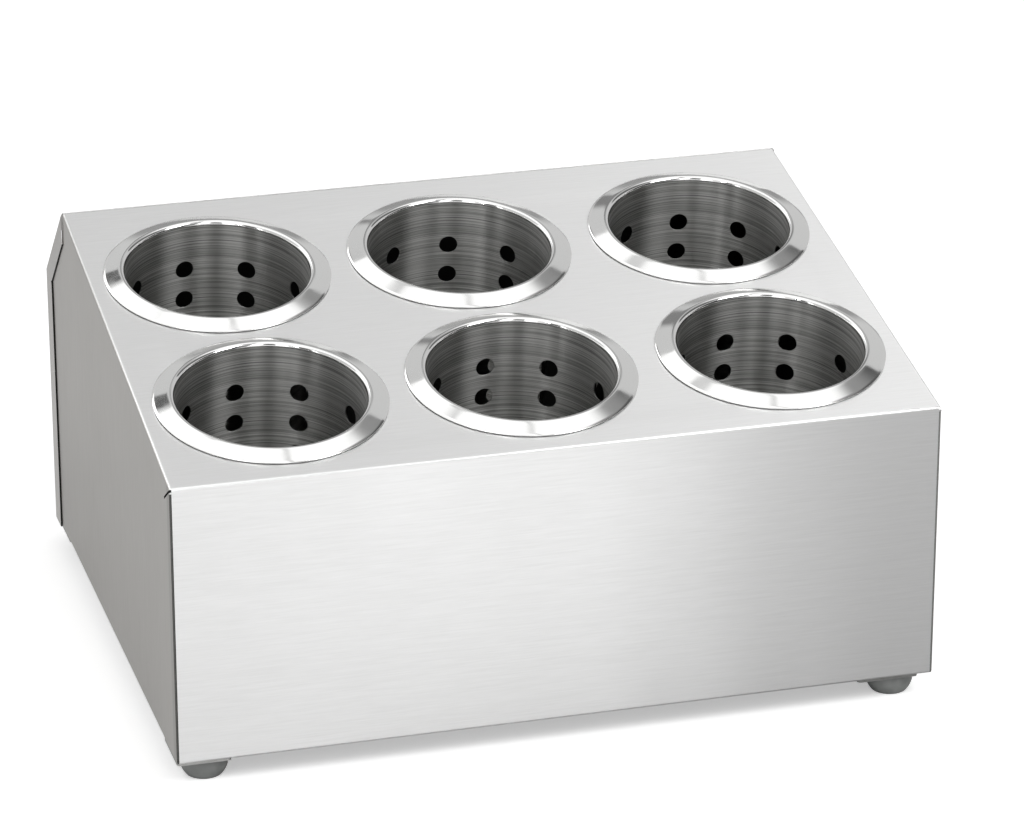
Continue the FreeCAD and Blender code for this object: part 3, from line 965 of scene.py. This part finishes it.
    def face_inward(self, work: bmesh.types.BMesh) -> None:
        """Turn all faces round if the first face of the wall looks away from the cup's axis.

        Args:
            work: The skin, with all its faces on one side.
        """
        near_wall, nearly_level = 0.2 * MM, 0.1
        work.faces.ensure_lookup_table()
        for face in work.faces:
            middle = face.calc_center_median()
            on_wall = abs(math.hypot(middle.x, middle.y) - self.inside_radius) < near_wall
            if on_wall and abs(face.normal.z) < nearly_level:
                if face.normal.x * middle.x + face.normal.y * middle.y > 0:
                    bmesh.ops.reverse_faces(work, faces=work.faces)
                return

    def mark_lathe_places(self, mesh: bpy.types.Mesh) -> None:
        """Store each point's place on the lathe, for the turned rings.

        Args:
            mesh: The cup in its own frame.
        """
        attribute = mesh.attributes.new(LATHE_PLACE, "FLOAT_VECTOR", "POINT")
        for vertex, mark in zip(mesh.vertices, attribute.data):
            radius = math.hypot(vertex.co.x, vertex.co.y)
            mark.vector = (vertex.co.x, vertex.co.y, vertex.co.z + self.inside_radius - radius)

    def hang(self, shell: bpy.types.Mesh, spot: CupSpot, top: SlopingTop) -> bpy.types.Object:
        """Put a copy of the cup in its hole, in place of its solid.

        Args:
            shell: The cup in its own frame.
            spot: Which hole it hangs in.
            top: The top that holds it.

        Returns:
            The piece.
        """
        mesh = shell.copy()
        mesh.transform(top.place(spot))
        piece = new_object(f"perforated_{spot.node}", mesh)
        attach(piece, spot.body)
        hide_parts(spot.node)
        return piece


def perforation_tree() -> bpy.types.NodeTree:
    """Geometry Nodes that repeat a holed tile in rows down a cup and in columns round it.

    Returns:
        The node tree, with named inputs for its counts, its pitch and its finish.
    """
    tree = bpy.data.node_groups.new("perforation", "GeometryNodeTree")
    inputs = (
        ("Geometry", "Geometry"), ("Rows", "Int"), ("Row Pitch", "Float"), ("Columns", "Int"),
        ("Finish", "Material"),
    )
    for name, kind in inputs:
        tree.interface.new_socket(name, in_out="INPUT", socket_type=f"NodeSocket{kind}")
    tree.interface.new_socket("Geometry", in_out="OUTPUT", socket_type="NodeSocketGeometry")
    given = add_node(tree, "NodeGroupInput").outputs
    drop = add_node(tree, "ShaderNodeMath", {0: given["Row Pitch"], 1: -1.0}, operation="MULTIPLY")
    offset = add_node(tree, "ShaderNodeCombineXYZ", {"Z": drop})
    rows = add_node(tree, "GeometryNodeMeshLine", {"Count": given["Rows"], "Offset": offset})
    column = add_node(
        tree, "GeometryNodeInstanceOnPoints", {"Points": rows, "Instance": given["Geometry"]},
    )
    column_mesh = add_node(tree, "GeometryNodeRealizeInstances", {0: column})
    spots = add_node(tree, "GeometryNodePoints", {"Count": given["Columns"]})
    index = add_node(tree, "GeometryNodeInputIndex")
    share = add_node(tree, "ShaderNodeMath", {0: index, 1: given["Columns"]}, operation="DIVIDE")
    turn = add_node(tree, "ShaderNodeMath", {0: share, 1: FULL_TURN}, operation="MULTIPLY")
    rotation = add_node(tree, "ShaderNodeCombineXYZ", {"Z": turn})
    round_axis = add_node(
        tree, "GeometryNodeInstanceOnPoints",
        {"Points": spots, "Instance": column_mesh, "Rotation": rotation},
    )
    whole = add_node(tree, "GeometryNodeRealizeInstances", {0: round_axis})
    welded = add_node(tree, "GeometryNodeMergeByDistance", {"Geometry": whole, "Distance": WELD})
    dressed = add_node(
        tree, "GeometryNodeSetMaterial", {"Geometry": welded, "Material": given["Finish"]},
    )
    add_node(tree, "NodeGroupOutput", {"Geometry": dressed})
    return tree


@dataclass
class Cups:
    """The six cups."""

    cup: PerforatedCup
    top: SlopingTop

    def build(self) -> None:
        """Make the cup once and hang it in each hole."""
        axis = self.top.upward
        finishes = [
            PolishedSteel("buffed_flange_steel"),
            TurnedSteel("turned_wall_steel", axis=axis),
            RolledSteel("cup_base_steel"),
            RolledSteel("flange_underside_steel"),
            # The outer wall and the outside of the base are drawn darker than the inner faces: partly a
            # duller drawn finish, partly painted shade of the housing's dark inside.
            TurnedSteel("drawn_outer_wall_steel", axis=axis, colour_dark="#6e6e6c", colour_light="#929290"),
            RolledSteel("cup_outer_base_steel_with_painted_shade", ("#7c7c7a", "#9c9c9a")),
        ]
        shell = self.cup.shell([finish.material() for finish in finishes])
        LOG.info("cup shell: %d faces", len(shell.polygons))
        for spot in CUP_SPOTS:
            piece = self.cup.hang(shell, spot, self.top)
            LOG.info("%s rides on %s", piece.name, spot.body)


# ---------------------------------------------------------------- housing


@dataclass
class Housing:
    """The folded housing and its lapped rear cover."""

    width: float = 401.3 * MM
    skin: float = 1.0 * MM
    # How far back from the front the painted shade beside the front seam reaches on the sides.
    seam_shade_strip: float = 6.5 * MM
    lap_top: float = 198 * MM
    sharp_angle: float = 35.0
    top: SlopingTop = SlopingTop()

    # How faces are told apart. Behind a rim the metal is thicker than so many skins. An inner face lies
    # deeper in than so much of a skin, and a point a little way out from it is deeper still. A rim on the
    # right within the last of these lengths of the front is the right front seam, whose rim is drawn
    # lighter than the left one as painted light.
    rim_skins: float = 2.0
    inner_skins: float = 0.7
    look_out: float = 3 * MM
    look_gain: float = 1 * MM
    seam_reach: float = 3 * MM

    def build(self) -> None:
        """Dress both sheets: brushed faces, raw edges and a dark inside, the inside's darkness being
        painted shade over a duller mill finish.
        """
        seam_shade_edge = self.seam_shade_strip - self.top.depth / 2
        outside = BrushedSheet("brushed_housing_steel", grain=Grain.FOLDED, seam_shade_edge=seam_shade_edge)
        cover = BrushedSheet("brushed_cover_steel", grain=Grain.ACROSS)
        # Raw rims: dull, and drawn dark partly as painted shade.
        edge = ShearedEdge("sheared_sheet_edge").material()
        # The right front seam's rim: the same raw rim drawn lighter than the left one, as painted light.
        dressed = ShearedEdge("painted_light_seam_edge", ("#8a8a88", "#b4b4b2")).material()
        lap = ShearedEdge("shadowed_lap_edge", ("#1d1d1c", "#343433")).material()
        # The inner faces: a duller mill finish, drawn near black as painted shade of the closed housing.
        inside = RolledSteel("mill_finish_inside_with_painted_shade", ("#474746", "#5c5c5a")).material()
        sheets = (
            ("housing", "folded_housing", "housing_steel", outside, edge, self.top.depth),
            ("rear_cover", "lapped_rear_cover", "cover_steel", cover, lap, self.lap_top),
        )
        for node, name, slot, finish, rim, rim_top in sheets:
            piece = smooth_copy(node, name, self.sharp_angle)
            for material in (finish.material(), rim, inside, dressed):
                piece.data.materials.append(material)
            self.sort_faces(piece.data, rim_top)
            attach(piece, "shell")
            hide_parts(node)
            LOG.info("%s: %d faces", name, len(piece.data.polygons))

    def depth_inside(self, point: Vector) -> float:
        """Measure how far a point lies inside the housing's front, sides, top, rear and underside.

        Args:
            point: The point.

        Returns:
            The distance to the nearest of them, less than 0 outside.
        """
        front = point.y + self.top.depth / 2
        below = (self.top.front_edge - point).dot(Vector(self.top.upward))
        side = self.width / 2 - abs(point.x)
        return min(front, self.top.depth - front, side, below, point.z - self.top.ground_drop)

    def sort_faces(self, mesh: bpy.types.Mesh, rim_top: float) -> None:
        """Give raw edges and inner faces their own finishes.

        Args:
            mesh: The sheet's mesh, with the brushed, edge, inside and lighter seam-rim finishes in that
                order; the lighter seam rim is the same raw rim drawn lighter as painted light.
            rim_top: Height above which raw edges were brushed with the faces.
        """
        brushed, edge, inside, dressed = range(4)
        seam_back = self.seam_reach - self.top.depth / 2
        work = bmesh.new()
        work.from_mesh(mesh)
        tree = BVHTree.FromBMesh(work)
        for face in work.faces:
            centre = face.calc_center_median()
            thickness = tree.ray_cast(centre - face.normal * WELD, -face.normal)[3]
            depth = self.depth_inside(centre)
            deeper = self.depth_inside(centre + face.normal * self.look_out) - depth
            if thickness is None or thickness > self.rim_skins * self.skin:
                if centre.z >= rim_top:
                    face.material_index = brushed
                # The right front seam's rim takes the lighter copy of the raw rim, which is painted light.
                elif centre.x > 0 and centre.y < seam_back:
                    face.material_index = dressed
                else:
                    face.material_index = edge
            # Inner faces take the dark inside finish, which is painted shade over a duller mill finish.
            elif deeper > self.look_gain and depth > self.inner_skins * self.skin:
                face.material_index = inside
            else:
                face.material_index = brushed
        work.to_mesh(mesh)
        work.free()


# ------------------------------------------------------------------- feet


@dataclass
class Feet:
    """Rubber feet with their plates and fasteners."""

    corners: tuple[str, ...] = ("front_left", "front_right", "rear_left", "rear_right")
    fastener_marks: Speckle = Speckle(1.2 * MM, 4.0)

    def build(self) -> None:
        """Give every piece of the four feet its finish."""
        marks = self.fastener_marks
        fastener = RolledSteel("fastener_steel", tone=marks, marks=marks).material()
        finishes = {
            "foot_plate": RolledSteel("rolled_plate_steel").material(),
            "foot_washer": fastener,
            "foot_screw": fastener,
            "foot_nut": fastener,
            "foot": MouldedRubber("moulded_grey_rubber").material(),
        }
        for corner in self.corners:
            for kind, finish in finishes.items():
                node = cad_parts[f"{kind}_{corner}"]
                node.data.materials.clear()
                node.data.materials.append(finish)
            LOG.info("foot at %s dressed", corner)


# ----------------------------------------------------------------- studio


@dataclass(frozen=True)
class SkyPatch:
    """A soft-edged rectangle of the surroundings, measured on a ceiling one unit above the dispenser."""

    level: float
    across: Pair
    back: Pair
    soft: Pair = (0.02, 0.02)


# The softboxes over the dispenser, the gaps between them and the dark parts of the room round them.
SKY = (
    SkyPatch(0.35, (-1.2, 60.0), (4.0, 60.0), (0.3, 1.0)),
    SkyPatch(1.30, (-60.0, -1.2), (1.2, 60.0), (0.3, 0.3)),
    SkyPatch(0.38, (-12.0, 12.0), (-25.0, -1.10), (1.0, 0.10)),
    SkyPatch(1.35, (-0.90, 0.58), (-1.00, 1.00), (0.09, 0.02)),
    SkyPatch(1.30, (-0.90, 0.12), (-1.05, -0.30), (0.04, 0.04)),
    SkyPatch(0.50, (0.15, 0.36), (-1.05, -0.30), (0.03, 0.04)),
    SkyPatch(0.58, (0.00, 0.62), (0.46, 1.20), (0.06, 0.05)),
    SkyPatch(0.88, (0.15, 0.18), (-0.25, 0.46), (0.008, 0.02)),
    SkyPatch(0.80, (-0.16, 0.00), (0.38, 0.50), (0.02, 0.02)),
    SkyPatch(0.15, (-0.60, -0.22), (1.08, 1.42), (0.02, 0.04)),
    SkyPatch(2.20, (-1.60, -0.32), (0.90, 1.70), (0.02, 0.05)),
    SkyPatch(0.40, (0.44, 0.80), (1.05, 3.00), (0.08, 0.10)),
    SkyPatch(0.26, (0.10, 0.48), (1.15, 3.00), (0.05, 0.10)),
    SkyPatch(0.34, (0.62, 1.60), (-0.60, 0.75), (0.07, 0.015)),
    SkyPatch(0.12, (0.84, 1.60), (-0.60, 0.75), (0.12, 0.015)),
)


@dataclass(frozen=True)
class SkyFan:
    """A wedge of the room ahead, low down, that fans out from over the cups and stripes their walls."""

    level: float
    turn: Pair
    reach: Pair = (-25.0, -1.05)
    soft: Pair = (0.03, 0.06)


# Window posts and panes ahead: how far each lies from straight ahead towards the right, in degrees.
SKY_FANS = (
    SkyFan(0.80, (-89.0, -66.5)),
    SkyFan(2.40, (-66.5, -60.0)),
    SkyFan(0.15, (-60.0, -44.0)),
    SkyFan(0.90, (-44.0, -32.0)),
    SkyFan(1.90, (-32.0, -17.0)),
    SkyFan(0.01, (-17.0, -4.0)),
    SkyFan(3.20, (-1.0, 13.0), (-2.6, -1.05)),
    SkyFan(0.30, (14.0, 28.0)),
    SkyFan(0.05, (28.0, 89.0)),
)

# How bright metal sees the floor ahead of the front, from its left to its right: place, level at the
# dispenser's foot and level further out. The lower level at the foot is painted shade.
FLOOR_FALL = (
    (0.0, 0.51, 0.66),
    (0.1, 0.52, 0.68),
    (0.2, 0.515, 0.78),
    (0.32, 0.49, 0.87),
    (0.45, 0.445, 0.885),
    (0.52, 0.37, 0.745),
    (0.62, 0.265, 0.44),
    (0.72, 0.21, 0.265),
    (1.0, 0.20, 0.24),
)


@dataclass(frozen=True)
class Lamp:
    """A soft rectangular lamp: where it stands, the point it faces, the size of its face and its power."""

    name: str
    place: Triple
    aim: Triple
    size: Pair
    watts: float

    def add(self) -> None:
        """Put the lamp into the scene."""
        data = bpy.data.lights.new(self.name, "AREA")
        data.shape = "RECTANGLE"
        data.size, data.size_y = self.size
        data.energy = self.watts
        lamp = bpy.data.objects.new(self.name, data)
        lamp.location = self.place
        lamp.rotation_mode = "QUATERNION"
        lamp.rotation_quaternion = (Vector(self.aim) - Vector(self.place)).to_track_quat("-Z", "Y")
        bpy.context.scene.collection.objects.link(lamp)


# A broad key from the front right, above, a low front softbox and a narrow strip at the front left.
LAMPS = (
    Lamp("key", (1.22, -1.38, 1.9), (0.0, 0.0, 0.1), (0.8, 1.3), 24.0),
    Lamp("front_softbox", (-0.15, -2.4, 0.55), (0.0, 0.0, 0.1), (1.3, 0.8), 3.0),
    Lamp("strip", (-1.10, -1.25, 1.7), (0.0, 0.0, 0.15), (0.07, 0.9), 9.0),
)


def within(tree: Tree, place: Source, reach: Pair, soft: float) -> Source:
    """Give 1 between two places on a line and 0 beyond them.

    Args:
        tree: The node tree.
        place: The place along the line.
        reach: The two places.
        soft: Half the width of the change at each.

    Returns:
        The share.
    """
    rise, fall = (
        add_node(
            tree, "ShaderNodeMapRange",
            {"Value": place, "From Min": end - soft, "From Max": end + soft,
             "To Min": before, "To Max": after},
            interpolation_type="SMOOTHSTEP",
        )
        for end, before, after in ((reach[0], 0.0, 1.0), (reach[1], 1.0, 0.0))
    )
    return add_node(tree, "ShaderNodeMath", {0: rise, 1: fall}, operation="MULTIPLY")


def lay_patch(
    tree: Tree, ground: Source | float, level: float, *spans: tuple[Source, Pair, float],
) -> Source:
    """Lay a soft-edged patch of one brightness over what is there.

    Args:
        tree: The node tree.
        ground: The brightness without the patch.
        level: The patch's own brightness.
        *spans: For each of two directions, the place along it, the patch's two ends and their softness.

    Returns:
        The brightness with the patch.
    """
    wide, deep = (within(tree, *span) for span in spans)
    share = add_node(tree, "ShaderNodeMath", {0: wide, 1: deep}, operation="MULTIPLY")
    return add_node(tree, "ShaderNodeMix", {"Factor": share, "A": ground, "B": level})


@dataclass
class Studio:
    """Pale floor, soft lamps, pale surroundings and the camera."""

    floor_size: float = 12.0
    floor_colour: str = "#f7f7f7"
    floor_fill: float = 0.40

    # The card that metal sees in place of the floor. Ahead of the front its levels run from left to right
    # between two places, which drift and spread with the distance ahead. Beside the housing and behind it
    # the card is even, and it is darkest under the dispenser; the darker card beside and under the housing
    # is painted shade.
    front_plane: float = -163.5 * MM
    front_across: Pair = (-0.25, 0.35)
    front_drift: float = 0.287
    front_spread: float = 0.45
    front_reach: float = 0.4
    beside_start: Pair = (-0.01, 0.12)
    far_start: Pair = (0.7, 1.3)
    beside_level: float = 0.52
    far_level: float = 0.10
    under_level: float = 0.04
    under_reach: Pair = (190 * MM, 166 * MM)
    under_soft: float = 12 * MM

    camera_place: Triple = (-0.6062, -2.2350, 1.0611)
    camera_back: Triple = (-0.24964, -0.89233, 0.37606)
    camera_lens: float = 164.7
    sensor_width: float = 36.0
    camera_reach: float = 50.0

    # What lights the object, what the metal sees where no patch lies, and what the camera sees.
    world_level: float = 0.62
    horizon_level: float = 0.70
    backdrop_level: float = 1.0

    # How far ahead of the point over the dispenser the fans spread from, and the least rise and distance
    # that places on the ceiling are worked out with, which keeps them finite at the horizon.
    fan_centre: float = 0.18
    flattest: float = 0.05

    def build_floor(self) -> None:
        """Lay the floor under the feet: white from above, clear from below, with a card that metal sees."""
        half = self.floor_size / 2
        mesh = bpy.data.meshes.new("floor")
        corners = [(-half, -half, 0.0), (half, -half, 0.0), (half, half, 0.0), (-half, half, 0.0)]
        mesh.from_pydata(corners, [], [(0, 1, 2, 3)])
        floor = new_object("floor", mesh)
        material, tree = new_material("floor_paper")
        path = add_node(tree, "ShaderNodeLightPath").outputs
        card = add_node(
            tree, "ShaderNodeMapRange",
            {"Value": path["Is Glossy Ray"], "To Min": 1.0, "To Max": self.card_level(tree)},
        )
        white = linear(self.floor_colour)[:3]
        paper = add_node(tree, "ShaderNodeVectorMath", {0: white, "Scale": card}, operation="SCALE")
        fill = self.seen(tree)
        for share in (self.floor_fill, card):
            fill = add_node(tree, "ShaderNodeMath", {0: fill, 1: share}, operation="MULTIPLY")
        lit = add_node(tree, "ShaderNodeBsdfDiffuse", {"Color": paper})
        glow = add_node(tree, "ShaderNodeEmission", {"Strength": fill})
        both = add_node(tree, "ShaderNodeAddShader", {0: lit, 1: glow})
        below = add_node(tree, "ShaderNodeNewGeometry").outputs["Backfacing"]
        through = add_node(
            tree, "ShaderNodeMath", {0: below, 1: path["Is Camera Ray"]}, operation="MULTIPLY",
        )
        clear = add_node(tree, "ShaderNodeBsdfTransparent")
        shown = add_node(tree, "ShaderNodeMixShader", {0: through, 1: both, 2: clear})
        add_node(tree, "ShaderNodeOutputMaterial", {"Surface": shown})
        mesh.materials.append(material)

    def card_level(self, tree: Tree) -> Source:
        """Find how bright the floor is in the metal, darker to the front right, and darker beside and under
        the housing as painted shade.

        Args:
            tree: The floor's node tree.

        Returns:
            The share of the floor's own brightness.
        """
        place = add_node(tree, "ShaderNodeTexCoord").outputs["Object"]
        parts = add_node(tree, "ShaderNodeSeparateXYZ", {0: place}).outputs
        front = self.front_level(tree, parts)
        start, end = (self.front_plane + gap for gap in self.beside_start)
        beside = add_node(
            tree, "ShaderNodeMapRange", {"Value": parts["Y"], "From Min": start, "From Max": end},
            interpolation_type="SMOOTHSTEP",
        )
        behind = add_node(
            tree, "ShaderNodeMapRange",
            {"Value": parts["Y"], "From Min": self.far_start[0], "From Max": self.far_start[1],
             "To Min": self.beside_level, "To Max": self.far_level},
        )
        level = add_node(tree, "ShaderNodeMix", {"Factor": beside, "A": front, "B": behind})
        # Painted shadow under the dispenser, as metal sees it.
        under = (
            (parts[axis], (-reach, reach), self.under_soft) for axis, reach in zip("XY", self.under_reach)
        )
        return lay_patch(tree, level, self.under_level, *under)

    def front_level(self, tree: Tree, parts: bpy.types.bpy_prop_collection) -> Source:
        """Find how bright the floor ahead of the front is in the metal.

        Args:
            tree: The floor's node tree.
            parts: The outputs that hold the point's X and Y.

        Returns:
            The share of the floor's own brightness.
        """
        ahead = add_node(
            tree, "ShaderNodeMath", {0: self.front_plane, 1: parts["Y"]}, operation="SUBTRACT",
        )
        ahead = add_node(tree, "ShaderNodeMath", {0: ahead, 1: 0.0}, operation="MAXIMUM")
        drift = add_node(tree, "ShaderNodeMath", {0: ahead, 1: self.front_drift}, operation="MULTIPLY")
        start = add_node(tree, "ShaderNodeMath", {0: parts["X"], 1: drift}, operation="SUBTRACT")
        spread = add_node(
            tree, "ShaderNodeMath", {0: ahead, 1: self.front_spread, 2: 1.0}, operation="MULTIPLY_ADD",
        )
        foot = add_node(tree, "ShaderNodeMath", {0: start, 1: spread}, operation="DIVIDE")
        share, away = (
            add_node(tree, "ShaderNodeMapRange", {"Value": value, "From Min": low, "From Max": high})
            for value, (low, high) in ((foot, self.front_across), (ahead, (0.0, self.front_reach)))
        )
        ramp = add_node(tree, "ShaderNodeValToRGB", {0: share})
        ramp.color_ramp.interpolation = "EASE"
        points = ramp.color_ramp.elements
        while len(points) < len(FLOOR_FALL):
            points.new(0.5)
        for point, (position, foot_level, open_level) in zip(points, FLOOR_FALL):
            point.position = position
            point.color = (foot_level, open_level, open_level, 1.0)
        levels = add_node(tree, "ShaderNodeSeparateColor", {0: ramp}).outputs
        return add_node(tree, "ShaderNodeMix", {"Factor": away, "A": levels[0], "B": levels[1]})

    def seen(self, tree: Tree) -> Source:
        """Give 1 for what the eye, metal and glass see, and 0 for what only lights.

        Args:
            tree: The node tree of the floor or the world.

        Returns:
            The share.
        """
        path = add_node(tree, "ShaderNodeLightPath").outputs
        share = path["Is Camera Ray"]
        for other in ("Is Glossy Ray", "Is Transmission Ray"):
            share = add_node(tree, "ShaderNodeMath", {0: share, 1: path[other]}, operation="MAXIMUM")
        return share

    def build_world(self) -> None:
        """Surround the dispenser with an even light that metal sees as softboxes in a pale room."""
        world = bpy.data.worlds.new("surroundings")
        bpy.context.scene.world = world
        world.use_nodes = True
        tree = world.node_tree
        tree.nodes.clear()
        strength = self.world_level
        eye = add_node(tree, "ShaderNodeLightPath").outputs["Is Camera Ray"]
        for share, level in ((self.seen(tree), self.sky_level(tree)), (eye, self.backdrop_level)):
            strength = add_node(tree, "ShaderNodeMix", {"Factor": share, "A": strength, "B": level})
        background = add_node(
            tree, "ShaderNodeBackground", {"Color": linear("#ffffff"), "Strength": strength},
        )
        add_node(tree, "ShaderNodeOutputWorld", {"Surface": background})

    def sky_level(self, tree: Tree) -> Source:
        """Paint the patches and the fans of the room that the metal sees.

        Args:
            tree: The world's node tree.

        Returns:
            The room's brightness in each direction.
        """
        way = add_node(tree, "ShaderNodeTexCoord").outputs["Generated"]
        parts = add_node(tree, "ShaderNodeSeparateXYZ", {0: way}).outputs
        up = add_node(tree, "ShaderNodeMath", {0: parts["Z"], 1: self.flattest}, operation="MAXIMUM")
        across, back = (
            add_node(tree, "ShaderNodeMath", {0: parts[axis], 1: up}, operation="DIVIDE")
            for axis in "XY"
        )
        level = self.horizon_level
        for patch in SKY:
            spans = ((across, patch.across, patch.soft[0]), (back, patch.back, patch.soft[1]))
            level = lay_patch(tree, level, patch.level, *spans)
        ahead = add_node(tree, "ShaderNodeMath", {0: -self.fan_centre, 1: back}, operation="SUBTRACT")
        ahead = add_node(tree, "ShaderNodeMath", {0: ahead, 1: self.flattest}, operation="MAXIMUM")
        aside = add_node(tree, "ShaderNodeMath", {0: across, 1: ahead}, operation="DIVIDE")
        for fan in SKY_FANS:
            ends = tuple(math.tan(math.radians(turn)) for turn in fan.turn)
            spans = ((aside, ends, fan.soft[0]), (back, fan.reach, fan.soft[1]))
            level = lay_patch(tree, level, fan.level, *spans)
        return level

    def build_camera(self) -> None:
        """Stand the camera at its place, looking down on the dispenser from its front left."""
        data = bpy.data.cameras.new("camera")
        data.lens = self.camera_lens
        data.sensor_width = self.sensor_width
        data.sensor_fit = "HORIZONTAL"
        data.clip_end = self.camera_reach
        camera = bpy.data.objects.new("camera", data)
        camera.location = self.camera_place
        camera.rotation_mode = "QUATERNION"
        camera.rotation_quaternion = (-Vector(self.camera_back)).to_track_quat("-Z", "Y")
        bpy.context.scene.collection.objects.link(camera)
        bpy.context.scene.camera = camera

    def build(self) -> None:
        """Set up everything round the dispenser."""
        bpy.context.scene.view_settings.view_transform = "Standard"
        self.build_camera()
        self.build_floor()
        self.build_world()
        for lamp in LAMPS:
            lamp.add()


def main() -> None:
    """Build the studio and each sub-assembly in order."""
    Studio().build()
    Housing().build()
    Cups(PerforatedCup(), SlopingTop()).build()
    Feet().build()


if __name__ == "__main__":
    main()
